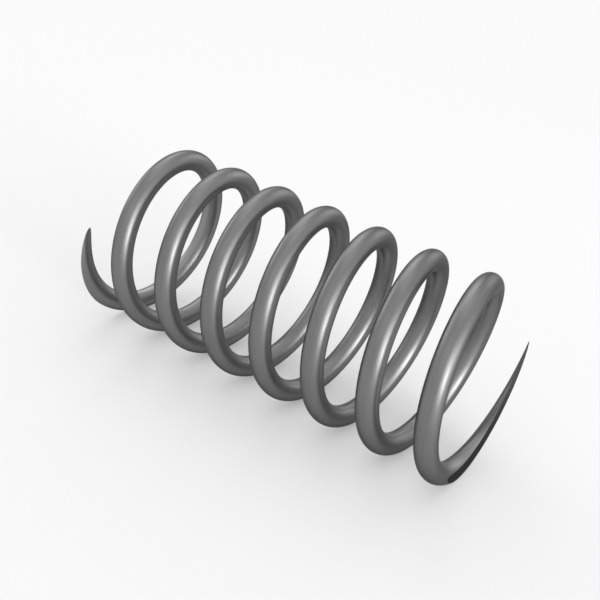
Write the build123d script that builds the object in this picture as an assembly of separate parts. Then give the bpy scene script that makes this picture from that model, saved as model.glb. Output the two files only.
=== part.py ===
"""Compression spring with open ends, ground flat.

One length of round wire is wound right-handed at a constant pitch, with no dead coil at either end.
Both ends are then ground square to the coil's axis. The grinding cuts slantwise through the last
stretch of wire, so each end has a flat crescent that seats the spring and runs out to a thin tip.

The spring lies on its side, as it comes to rest on a table. +X runs along the coil's axis, +Z is up,
and the origin is on the table under the middle of the spring. Sizes are in millimetres.
"""

import os
from math import atan2, degrees, pi, sin

from build123d import *

# Driving dimensions
WIRE_DIAMETER = 2.5
OUTSIDE_DIAMETER = 23.0
FREE_LENGTH = 48.8
TOTAL_COILS = 7.2

# Sizes that follow from them
wire_radius = WIRE_DIAMETER / 2
outer_radius = OUTSIDE_DIAMETER / 2
mean_radius = outer_radius - wire_radius
pitch = FREE_LENGTH / TOTAL_COILS
grinding_stock = WIRE_DIAMETER
wound_length = FREE_LENGTH + 2 * grinding_stock


def wire_path():
    """The middle line of the wire as it is wound, with stock beyond both seats for the grinding."""
    start = (-wound_length / 2, 0, 0)
    wound = Helix(pitch, wound_length, mean_radius, center=start, direction=(1, 0, 0))
    return wound.rotate(Axis.X, turn_to_rest(wound))


def turn_to_rest(wound):
    """How far to turn the wound wire about the axis, in degrees, so that its heavy side comes down.

    The spring is the same from either end, so its heavy side lies in line with the middle of the wire:
    on the same side of the axis, or on the far side where the coils left over cover more than half a turn.
    """
    middle = wound @ 0.5
    middle_angle = degrees(atan2(middle.Z, middle.Y))
    heavy_on_far_side = sin(pi * TOTAL_COILS) < 0
    wanted_angle = 90 if heavy_on_far_side else -90
    return wanted_angle - middle_angle


def wind_wire(path):
    """The round wire along its path, before grinding."""
    across_wire = Plane(origin=path @ 0, z_dir=path % 0)
    return sweep(across_wire * Circle(wire_radius), path=path, is_frenet=True)


def grind_ends(wound_wire):
    """Keeps what lies between the two seats, which are square to the axis and FREE_LENGTH apart."""
    kept_width = 2 * OUTSIDE_DIAMETER
    return wound_wire & Box(FREE_LENGTH, kept_width, kept_width)


def compression_spring():
    """The finished spring, lying on the table."""
    return Pos(0, 0, outer_radius) * grind_ends(wind_wire(wire_path()))


os.makedirs("parts", exist_ok=True)
export_step(compression_spring(), "parts/compression_spring.step")
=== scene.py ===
"""A compression spring of round steel wire, lying on its side on a pale studio floor.

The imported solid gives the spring's place and overall size. The wire is wound and ground here again as a
clean mesh that knows where each of its points lies along and across the wire, so that the drawn finish
follows the coils. Lengths are in metres, in the part's own frame: +X runs along the coil, +Z is up.
"""

import logging
import math
from dataclasses import dataclass
from enum import Enum
from typing import ClassVar

import bpy
import numpy as np
from mathutils import Matrix, Vector


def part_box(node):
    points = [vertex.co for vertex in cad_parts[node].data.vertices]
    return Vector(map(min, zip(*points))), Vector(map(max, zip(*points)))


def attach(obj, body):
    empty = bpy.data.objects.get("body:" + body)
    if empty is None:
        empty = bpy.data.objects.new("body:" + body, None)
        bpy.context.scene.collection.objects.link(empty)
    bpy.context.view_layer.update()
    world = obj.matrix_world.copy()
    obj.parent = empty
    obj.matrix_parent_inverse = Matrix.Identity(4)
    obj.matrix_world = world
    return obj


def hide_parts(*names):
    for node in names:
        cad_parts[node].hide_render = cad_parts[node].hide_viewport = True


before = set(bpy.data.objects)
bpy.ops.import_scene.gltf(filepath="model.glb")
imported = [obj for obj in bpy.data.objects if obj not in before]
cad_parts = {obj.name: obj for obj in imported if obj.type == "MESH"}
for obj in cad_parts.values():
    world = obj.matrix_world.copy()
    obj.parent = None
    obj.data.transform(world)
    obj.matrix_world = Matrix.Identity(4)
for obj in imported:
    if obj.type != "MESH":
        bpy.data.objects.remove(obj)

log = logging.getLogger("spring")

MM = 0.001
SPRING_NODE = "compression_spring"

# The room's even light, and the white that the floor fades into far off
ROOM_WHITE = 0.96

# The value that Blender's noise varies about
NOISE_MEAN = 0.5

# The angle of the coil's top, counted about +X from +Y
TOP = math.pi / 2


class Surface(Enum):
    """The finishes on the spring, in the order of its material slots."""

    DRAWN = 0
    GROUND = 1


class Signal:
    """A number that runs through a material's nodes, so that sums on it are written as Python."""

    def __init__(self, sheet: "NodeSheet", socket: bpy.types.NodeSocket) -> None:
        """Wraps an output socket.

        Args:
            sheet: The node sheet that the socket is on.
            socket: The output that gives the number.
        """
        self.sheet = sheet
        self.socket = socket

    def _math(self, operation: str, first: "Signal | float", second: "Signal | float") -> "Signal":
        """Adds one Math node.

        Args:
            operation: The Math node's operation.
            first: Its first number.
            second: Its second number.

        Returns:
            The node's result.
        """
        return self.sheet.signal("ShaderNodeMath", "Value", {"operation": operation}, {0: first, 1: second})

    def __add__(self, other: "Signal | float") -> "Signal":
        """self + other."""
        return self._math("ADD", self, other)

    def __radd__(self, other: float) -> "Signal":
        """other + self."""
        return self._math("ADD", other, self)

    def __sub__(self, other: "Signal | float") -> "Signal":
        """self - other."""
        return self._math("SUBTRACT", self, other)

    def __rsub__(self, other: float) -> "Signal":
        """other - self."""
        return self._math("SUBTRACT", other, self)

    def __mul__(self, other: "Signal | float") -> "Signal":
        """self * other."""
        return self._math("MULTIPLY", self, other)

    def __rmul__(self, other: float) -> "Signal":
        """other * self."""
        return self._math("MULTIPLY", other, self)

    def larger(self, other: "Signal | float") -> "Signal":
        """The larger of the two numbers."""
        return self._math("MAXIMUM", self, other)


class NodeSheet:
    """The node tree of one material or world, emptied and ready for new nodes."""

    def __init__(self, owner: bpy.types.Material | bpy.types.World) -> None:
        """Empties the owner's node tree.

        Args:
            owner: The material or world whose nodes are written.
        """
        owner.use_nodes = True
        self.tree = owner.node_tree
        self.tree.nodes.clear()

    def add(self, kind: str, settings: dict | None = None, sockets: dict | None = None) -> bpy.types.Node:
        """Adds one node.

        Args:
            kind: The node's type.
            settings: Its settings, such as a Math node's operation, which are set first.
            sockets: What goes into each input, by name or number: a value, a Signal or an output socket.

        Returns:
            The node.
        """
        node = self.tree.nodes.new(kind)
        for name, value in (settings or {}).items():
            setattr(node, name, value)
        for name, value in (sockets or {}).items():
            source = value.socket if isinstance(value, Signal) else value
            if isinstance(source, bpy.types.NodeSocket):
                self.tree.links.new(source, node.inputs[name])
            else:
                node.inputs[name].default_value = source
        return node

    def signal(
        self, kind: str, output: str, settings: dict | None = None, sockets: dict | None = None
    ) -> Signal:
        """Adds one node and gives one of its outputs.

        Args:
            kind: The node's type.
            output: The name of the output.
            settings: As for add.
            sockets: As for add.

        Returns:
            The output, ready for sums.
        """
        return Signal(self, self.add(kind, settings, sockets).outputs[output])

    def noise(self, dimensions: str, sockets: dict) -> Signal:
        """Adds noise that varies about 0.

        Args:
            dimensions: 1D or 3D.
            sockets: As for add.

        Returns:
            The noise, ready for sums.
        """
        raw = self.signal("ShaderNodeTexNoise", "Fac", {"noise_dimensions": dimensions}, sockets)
        return raw - NOISE_MEAN

    def soft_step(
        self, reach: Signal, start: float, full: float, low: float = 0.0, high: float = 1.0
    ) -> Signal:
        """Adds a smooth rise from one number to another.

        Args:
            reach: What the rise depends on.
            start: The reach up to which the result is low.
            full: The reach from which it is high.
            low: The result before the rise.
            high: The result after it.

        Returns:
            The result, ready for sums.
        """
        return self.signal(
            "ShaderNodeMapRange",
            "Result",
            {"interpolation_type": "SMOOTHSTEP"},
            {"Value": reach, "From Min": start, "From Max": full, "To Min": low, "To Max": high},
        )


def grey(level: float) -> tuple[float, float, float, float]:
    """The neutral colour of that linear level."""
    return (level, level, level, 1.0)


@dataclass(frozen=True)
class BareSteel:
    """Bare steel: its own tone, the tint of its edges, and how far its marks stand out."""

    tone: float
    edge_tint: float
    mark_height: float
    mark_strength: float

    def lay(self, sheet: NodeSheet, shade: Signal, rough: Signal, marks: Signal) -> None:
        """Makes a material of it.

        Args:
            sheet: The material's nodes.
            shade: What its tone is multiplied by, about 1.
            rough: Its roughness.
            marks: The noise that its marks stand out by.
        """
        colour = sheet.add(
            "ShaderNodeVectorMath",
            {"operation": "SCALE"},
            {"Vector": (self.tone, self.tone, self.tone), "Scale": shade},
        )
        relief = sheet.add(
            "ShaderNodeBump",
            {},
            {"Strength": self.mark_strength, "Distance": self.mark_height, "Height": marks},
        )
        metal = sheet.add(
            "ShaderNodeBsdfPrincipled",
            {},
            {
                "Base Color": colour.outputs["Vector"],
                "Metallic": 1.0,
                "Roughness": rough,
                "Specular Tint": grey(self.edge_tint),
                "Normal": relief.outputs["Normal"],
            },
        )
        sheet.add("ShaderNodeOutputMaterial", {}, {"Surface": metal.outputs["BSDF"]})


@dataclass(frozen=True)
class Streaks:
    """Noise drawn out along the wire: its waves in each millimetre along and across, and its finer layers."""

    along: float
    across: float
    layers: float
    fineness: float = 0.55

    def lay(self, sheet: NodeSheet, place: bpy.types.NodeSocket) -> Signal:
        """Adds the streaks' nodes.

        Args:
            sheet: The material's nodes.
            place: Where a point lies along and across the wire, in millimetres.

        Returns:
            Noise about 0.
        """
        stretched = sheet.add(
            "ShaderNodeVectorMath",
            {"operation": "MULTIPLY"},
            {0: place, 1: (self.along, self.across, self.across)},
        )
        return sheet.noise(
            "3D",
            {
                "Vector": stretched.outputs["Vector"],
                "Scale": 1.0,
                "Detail": self.layers,
                "Roughness": self.fineness,
            },
        )


@dataclass(frozen=True)
class DrawnWireFinish:
    """Drawn spring wire: dull grey steel with fine lines along it, a few rubbed streaks and a faint mottle.

    Its inside, towards the axis, is painted lighter: painted light where the coil's own turns shade it. The
    coiling tool has pressed a smoother, slightly darker band on the outside. That band and the painted light
    are placed by millimetres from the middle of the wire, towards the axis or away from it, and the rubbed
    streaks make their edges wander.
    """

    name: str = "drawn_steel_wire"
    steel: BareSteel = BareSteel(tone=0.20, edge_tint=0.3, mark_height=0.008 * MM, mark_strength=0.5)
    lines: Streaks = Streaks(along=0.05, across=9.0, layers=4.0)
    rubs: Streaks = Streaks(along=0.02, across=2.2, layers=2.0)
    mottle: Streaks = Streaks(along=0.22, across=0.5, layers=3.0)
    line_tint: float = 0.28
    mottle_tint: float = 0.18
    roughness: float = 0.40
    rub_roughness: float = 0.12
    line_roughness: float = 0.06
    band_wander: float = 0.5
    tool_band_from: float = 1.02
    tool_band_full: float = 1.24
    tool_tint: float = -0.05
    tool_polish: float = 0.03
    inner_light_from: float = 0.5
    # Painted light: the inside of the coil, towards the axis, is made lighter.
    inner_light_full: float = 0.95
    inner_light_tint: float = 0.3

    def make(self) -> bpy.types.Material:
        """Makes the material.

        Returns:
            The material, which reads the piece's wire_place attribute.
        """
        material = bpy.data.materials.new(self.name)
        sheet = NodeSheet(material)
        place = sheet.add("ShaderNodeAttribute", {"attribute_name": CoiledWire.PLACE}).outputs["Vector"]
        outward = sheet.signal("ShaderNodeSeparateXYZ", "Y", {}, {0: place})
        lines = self.lines.lay(sheet, place)
        rubs = self.rubs.lay(sheet, place)
        mottle = self.mottle.lay(sheet, place)
        wander = rubs * self.band_wander
        tool_band = sheet.soft_step(outward + wander, self.tool_band_from, self.tool_band_full)
        # Painted light on the inside of the coil, towards the axis.
        painted_inner_light = sheet.soft_step(wander - outward, self.inner_light_from, self.inner_light_full)
        band_and_inner_light = tool_band * self.tool_tint + painted_inner_light * self.inner_light_tint
        shade = 1.0 + lines * self.line_tint + mottle * self.mottle_tint + band_and_inner_light
        marks_roughness = rubs * self.rub_roughness + lines * self.line_roughness
        rough = self.roughness + marks_roughness - tool_band * self.tool_polish
        self.steel.lay(sheet, shade, rough, lines)
        return material


@dataclass(frozen=True)
class GroundFaceFinish:
    """A ground seat: flat steel with the fine arcs that a grinding wheel leaves.

    It is painted dark near the floor and up to twice as bright at its thin tip: a painted gradient of shade
    and light that goes by height, since each seat is thickest near the floor and its tip is its highest
    point. The wheel's centre is high above the spring.
    """

    name: str = "ground_steel_face"
    # A tone darker than the drawn wire's: painted shade on the seat, lifted towards its tip.
    steel: BareSteel = BareSteel(tone=0.12, edge_tint=0.2, mark_height=0.006 * MM, mark_strength=0.6)
    wheel_centre: tuple[float, float, float] = (0.0, 0.0, 140 * MM)
    arcs_per_mm: float = 9.0
    arc_layers: float = 5.0
    arc_fineness: float = 0.7
    arc_tint: float = 1.2
    roughness: float = 0.33
    arc_roughness: float = 0.2
    # Painted light: the seat is made brighter from this height up to its tip.
    tip_light_from: float = 2 * MM
    tip_light_to: float = 11 * MM
    tip_light_tint: float = 1.0

    def make(self) -> bpy.types.Material:
        """Makes the material.

        Returns:
            The material, on Object coordinates.
        """
        material = bpy.data.materials.new(self.name)
        sheet = NodeSheet(material)
        place = sheet.add("ShaderNodeTexCoord").outputs["Object"]
        height = sheet.signal("ShaderNodeSeparateXYZ", "Z", {}, {0: place})
        flattened = sheet.add(
            "ShaderNodeVectorMath",
            {"operation": "MULTIPLY"},
            {0: place, 1: (0.0, 1.0, 1.0)},
        )
        from_wheel = sheet.signal(
            "ShaderNodeVectorMath",
            "Value",
            {"operation": "DISTANCE"},
            {0: flattened.outputs["Vector"], 1: self.wheel_centre},
        )
        arcs = sheet.noise(
            "1D",
            {
                "W": from_wheel * (1 / MM),
                "Scale": self.arcs_per_mm,
                "Detail": self.arc_layers,
                "Roughness": self.arc_fineness,
            },
        )
        # Painted shade and light by height: dark near the floor, brighter towards the tip.
        painted_tip_light = sheet.soft_step(height, self.tip_light_from, self.tip_light_to)
        shade = (1.0 + painted_tip_light * self.tip_light_tint) * (1.0 + arcs * self.arc_tint)
        rough = self.roughness + arcs * self.arc_roughness
        self.steel.lay(sheet, shade, rough, arcs)
        return material


@dataclass(frozen=True)
class PaleFloorFinish:
    """The studio floor: matt and pale with its shadows kept, and fading into the room's white far off."""

    name: str = "pale_floor"
    paint: float = 0.70
    white_share_near: float = 0.3
    fade_from: float = 60 * MM
    fade_to: float = 300 * MM

    def make(self) -> bpy.types.Material:
        """Makes the material.

        Returns:
            Matt paint, lifted towards white where the camera or a reflection sees it.
        """
        material = bpy.data.materials.new(self.name)
        sheet = NodeSheet(material)
        rays = sheet.add("ShaderNodeLightPath").outputs
        seen = Signal(sheet, rays["Is Camera Ray"])
        for kind in ("Is Glossy Ray", "Is Transmission Ray"):
            seen = seen.larger(Signal(sheet, rays[kind]))
        place = sheet.add("ShaderNodeTexCoord").outputs["Object"]
        reach = sheet.signal("ShaderNodeVectorMath", "Value", {"operation": "LENGTH"}, {0: place})
        white_share = sheet.soft_step(reach, self.fade_from, self.fade_to, low=self.white_share_near)
        matt = sheet.add("ShaderNodeBsdfDiffuse", {}, {"Color": grey(self.paint)})
        white = sheet.add("ShaderNodeEmission", {}, {"Color": grey(ROOM_WHITE), "Strength": 1.0})
        lifted = sheet.add(
            "ShaderNodeMixShader",
            {},
            {0: seen * white_share, 1: matt.outputs["BSDF"], 2: white.outputs["Emission"]},
        )
        sheet.add("ShaderNodeOutputMaterial", {}, {"Surface": lifted.outputs["Shader"]})
        return material


@dataclass
class CoiledWire:
    """The spring: round wire wound right-handed at a constant pitch, its ends ground square to the axis."""

    free_length: float
    outside_diameter: float
    centre: Vector
    wire_diameter: float = 2.5 * MM
    total_coils: float = 7.2
    ring_points: int = 48
    rings_per_coil: int = 96
    cut_merge: float = 0.001 * MM
    rim_merge: float = 0.002 * MM
    crease_angle: float = math.radians(20)
    seat_depth: float = 0.01 * MM
    seat_squareness: float = 0.999
    closing_steps: int = 8
    drawn: DrawnWireFinish = DrawnWireFinish()
    ground: GroundFaceFinish = GroundFaceFinish()

    NAME: ClassVar[str] = "coiled_wire"
    PLACE: ClassVar[str] = "wire_place"

    @classmethod
    def in_frame(cls) -> "CoiledWire":
        """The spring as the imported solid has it."""
        low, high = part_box(SPRING_NODE)
        size = high - low
        return cls(free_length=size.x, outside_diameter=size.z, centre=(low + high) / 2)

    @property
    def wire_radius(self) -> float:
        """Half the wire's thickness."""
        return self.wire_diameter / 2

    @property
    def mean_radius(self) -> float:
        """From the coil's axis to the middle of the wire."""
        return self.outside_diameter / 2 - self.wire_radius

    @property
    def pitch(self) -> float:
        """From one coil to the next."""
        return self.free_length / self.total_coils

    @property
    def rise(self) -> float:
        """How far the wire moves along the axis in each radian."""
        return self.pitch / math.tau

    @property
    def helix_angle(self) -> float:
        """How far the wire leans from square to the axis."""
        return math.atan2(self.rise, self.mean_radius)

    @property
    def wound_length(self) -> float:
        """The coil's length before grinding, with a wire's thickness to spare beyond each seat."""
        return self.free_length + 2 * self.wire_diameter

    def build(self) -> bpy.types.Object:
        """Winds, grinds and finishes the wire.

        Returns:
            The spring, in place.
        """
        wire = self._wind()
        self._grind(wire)
        self._note_place_on_wire(wire)
        self._dress(wire)
        wire.data.transform(Matrix.Translation(self.centre))
        return wire

    def _wind(self) -> bpy.types.Object:
        """Winds a ring of points into the coil, about the X axis through the world's origin.

        The ring lies in a plane through the axis and the wire leans, so it is stretched along the axis to
        leave the wire round.

        Returns:
            The open tube of wire, with the middle of its length straight above the axis.
        """
        coils = self.wound_length / self.pitch
        bpy.ops.object.select_all(action="DESELECT")
        bpy.ops.mesh.primitive_circle_add(
            vertices=self.ring_points,
            radius=self.wire_radius,
            location=(-self.wound_length / 2, 0.0, self.mean_radius),
            rotation=(math.pi / 2, 0.0, 0.0),
        )
        wire = bpy.context.object
        wire.name = self.NAME
        wire.scale.x = 1 / math.cos(self.helix_angle)
        bpy.ops.object.transform_apply(location=True, rotation=True, scale=True)
        coil = wire.modifiers.new("coil", "SCREW")
        coil.axis = "X"
        coil.angle = math.tau * coils
        coil.screw_offset = self.wound_length
        coil.steps = round(coils * self.rings_per_coil)
        coil.render_steps = coil.steps
        bpy.ops.object.modifier_apply(modifier=coil.name)
        wire.rotation_euler.x = -math.pi * coils
        bpy.ops.object.transform_apply(location=True, rotation=True, scale=True)
        return wire

    def _grind(self, wire: bpy.types.Object) -> None:
        """Cuts both ends square to the axis, leaves a flat crescent on each, and creases its rim.

        Points that a cut leaves almost in one place are merged.

        Args:
            wire: The wound wire, centred on the world's origin.
        """
        bpy.ops.object.mode_set(mode="EDIT")
        for end in (1.0, -1.0):
            bpy.ops.mesh.select_all(action="SELECT")
            bpy.ops.mesh.bisect(
                plane_co=(end * self.free_length / 2, 0.0, 0.0),
                plane_no=(end, 0.0, 0.0),
                use_fill=True,
                clear_outer=True,
                threshold=self.cut_merge,
            )
        bpy.ops.mesh.select_all(action="SELECT")
        bpy.ops.mesh.remove_doubles(threshold=self.rim_merge)
        bpy.ops.mesh.normals_make_consistent(inside=False)
        bpy.ops.object.mode_set(mode="OBJECT")
        bpy.ops.object.shade_smooth_by_angle(angle=self.crease_angle)

    def _note_place_on_wire(self, wire: bpy.types.Object) -> None:
        """Writes where each point lies on the wire: along it, away from the axis and across, in millimetres.

        The nearest point of the wire's middle line is first taken from the mesh point's angle about the axis,
        on the nearest coil, and then closed in on in a few steps.

        Args:
            wire: The ground wire, centred on the world's origin.
        """
        points = np.empty(len(wire.data.vertices) * 3)
        wire.data.vertices.foreach_get("co", points)
        points = points.reshape(-1, 3)
        angle = np.arctan2(points[:, 2], points[:, 1]) - TOP
        turn = angle + math.tau * np.round((points[:, 0] / self.rise - angle) / math.tau)
        for _ in range(self.closing_steps):
            middle, _, heading = self._helix(turn)
            turn += dot_rows(points - middle, heading) / (self.mean_radius**2 + self.rise**2)
        middle, outward, heading = self._helix(turn)
        heading /= np.linalg.norm(heading, axis=1, keepdims=True)
        sideways = np.cross(heading, outward)
        offset = points - middle
        along = turn * math.hypot(self.mean_radius, self.rise)
        place = np.stack([along, dot_rows(offset, outward), dot_rows(offset, sideways)], axis=1)
        attribute = wire.data.attributes.new(self.PLACE, "FLOAT_VECTOR", "POINT")
        attribute.data.foreach_set("vector", (place / MM).astype(np.float32).ravel())

    def _helix(self, turn: np.ndarray) -> tuple[np.ndarray, np.ndarray, np.ndarray]:
        """The wire's middle line.

        Args:
            turn: How far round from the middle of the wire's length, in radians.

        Returns:
            The points there, the directions away from the axis, and the line's directions, a radian long.
        """
        still = np.zeros_like(turn)
        ahead = np.full_like(turn, self.rise)
        across, up = np.cos(turn + TOP), np.sin(turn + TOP)
        outward = np.stack([still, across, up], axis=1)
        middle = np.stack([self.rise * turn, self.mean_radius * across, self.mean_radius * up], axis=1)
        heading = np.stack([ahead, -self.mean_radius * up, self.mean_radius * across], axis=1)
        return middle, outward, heading

    def _dress(self, wire: bpy.types.Object) -> None:
        """Gives the round wire and the ground crescents their finishes.

        A face is ground where it lies as far out as a seat and faces along the axis.

        Args:
            wire: The ground wire, centred on the world's origin.
        """
        wire.data.materials.append(self.drawn.make())
        wire.data.materials.append(self.ground.make())
        seat = self.free_length / 2 - self.seat_depth
        for face in wire.data.polygons:
            on_seat = abs(face.center.x) > seat and abs(face.normal.x) > self.seat_squareness
            face.material_index = (Surface.GROUND if on_seat else Surface.DRAWN).value


def dot_rows(first: np.ndarray, second: np.ndarray) -> np.ndarray:
    """The dot product of each row of one array with the same row of the other."""
    return np.einsum("ij,ij->i", first, second)


def direction(azimuth: float, elevation: float) -> Vector:
    """The way to something seen from the spring.

    Args:
        azimuth: Degrees round from straight in front, which is -Y, towards +X.
        elevation: Degrees above the floor.

    Returns:
        A vector of length 1.
    """
    bearing, climb = math.radians(azimuth), math.radians(elevation)
    return Vector(
        (
            math.sin(bearing) * math.cos(climb),
            -math.cos(bearing) * math.cos(climb),
            math.sin(climb),
        )
    )


@dataclass(frozen=True)
class Softbox:
    """A square studio light aimed at the spring. Its radiance is counted as the room's is."""

    name: str
    azimuth: float
    elevation: float
    width: float
    radiance: float
    distance: float = 1.5

    def place(self, target: Vector) -> bpy.types.Object:
        """Sets the light up.

        Args:
            target: What it is aimed at.

        Returns:
            The light.
        """
        towards = direction(self.azimuth, self.elevation)
        lamp = bpy.data.lights.new(self.name, "AREA")
        lamp.shape = "SQUARE"
        lamp.size = self.width
        lamp.energy = self.radiance * math.pi * self.width**2
        box = bpy.data.objects.new(self.name, lamp)
        box.location = target + towards * self.distance
        box.rotation_euler = towards.to_track_quat("Z", "Y").to_euler()
        bpy.context.scene.collection.objects.link(box)
        return box


@dataclass
class Studio:
    """The floor, the room's light and the lamps."""

    target: Vector
    floor_width: float = 8.0
    floor: PaleFloorFinish = PaleFloorFinish()
    lights: tuple[Softbox, ...] = (
        Softbox("small_low_right", azimuth=71, elevation=9, width=0.20, radiance=50.0),
        Softbox("wide_right", azimuth=61, elevation=20, width=0.90, radiance=2.5),
        Softbox("far_right", azimuth=97, elevation=13, width=0.68, radiance=2.1),
        Softbox("low_left", azimuth=-97, elevation=16, width=0.75, radiance=1.9),
        Softbox("low_back", azimuth=175, elevation=14, width=0.68, radiance=2.0),
        Softbox("middle_back", azimuth=-145, elevation=28, width=0.75, radiance=1.2),
        Softbox("high_back", azimuth=-130, elevation=45, width=0.90, radiance=1.1),
        Softbox("high_front", azimuth=-5, elevation=45, width=0.90, radiance=0.35),
        Softbox("overhead", azimuth=180, elevation=80, width=1.00, radiance=0.5),
    )

    def build(self) -> None:
        """Sets up everything but the camera."""
        self._lay_floor()
        self._fill_with_light()
        for light in self.lights:
            light.place(self.target)

    def _lay_floor(self) -> None:
        """Lays the floor at the height that the spring rests on."""
        bpy.ops.object.select_all(action="DESELECT")
        bpy.ops.mesh.primitive_plane_add(size=self.floor_width)
        floor = bpy.context.object
        floor.name = "studio_floor"
        floor.data.materials.append(self.floor.make())

    def _fill_with_light(self) -> None:
        """Gives the room its even light."""
        world = bpy.data.worlds.new("studio_room")
        bpy.context.scene.world = world
        sheet = NodeSheet(world)
        glow = sheet.add("ShaderNodeBackground", {}, {"Color": grey(1.0), "Strength": ROOM_WHITE})
        sheet.add("ShaderNodeOutputWorld", {}, {"Surface": glow.outputs["Background"]})


@dataclass(frozen=True)
class Viewpoint:
    """Where the photograph was taken from, fitted to the coil's outline in it."""

    azimuth: float = 28.53
    elevation: float = 26.25
    roll: float = 11.87
    distance: float = 97.85 * MM
    focal_length: float = 50.18
    sensor_width: float = 36.0
    nearest: float = 5 * MM
    farthest: float = 50.0

    def place(self, target: Vector) -> bpy.types.Object:
        """Sets the camera up and makes it the scene's.

        Args:
            target: The point in the middle of the picture.

        Returns:
            The camera.
        """
        back = direction(self.azimuth, self.elevation)
        lens = bpy.data.cameras.new("camera")
        lens.lens = self.focal_length
        lens.sensor_fit = "HORIZONTAL"
        lens.sensor_width = self.sensor_width
        lens.clip_start = self.nearest
        lens.clip_end = self.farthest
        camera = bpy.data.objects.new("camera", lens)
        level = back.to_track_quat("Z", "Y").to_matrix()
        turned = level @ Matrix.Rotation(math.radians(self.roll), 3, "Z")
        camera.matrix_world = Matrix.Translation(target + back * self.distance) @ turned.to_4x4()
        bpy.context.scene.collection.objects.link(camera)
        bpy.context.scene.camera = camera
        return camera


def main() -> None:
    """Builds the spring and the studio."""
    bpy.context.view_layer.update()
    spring = CoiledWire.in_frame()
    wire = spring.build()
    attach(wire, "root")
    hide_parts(SPRING_NODE)
    log.info("%s: %d faces", wire.name, len(wire.data.polygons))
    Studio(target=spring.centre).build()
    Viewpoint().place(spring.centre)
    bpy.context.scene.view_settings.view_transform = "Standard"


if __name__ == "__main__":
    logging.basicConfig(level=logging.INFO, format="%(name)s: %(message)s")
    main()
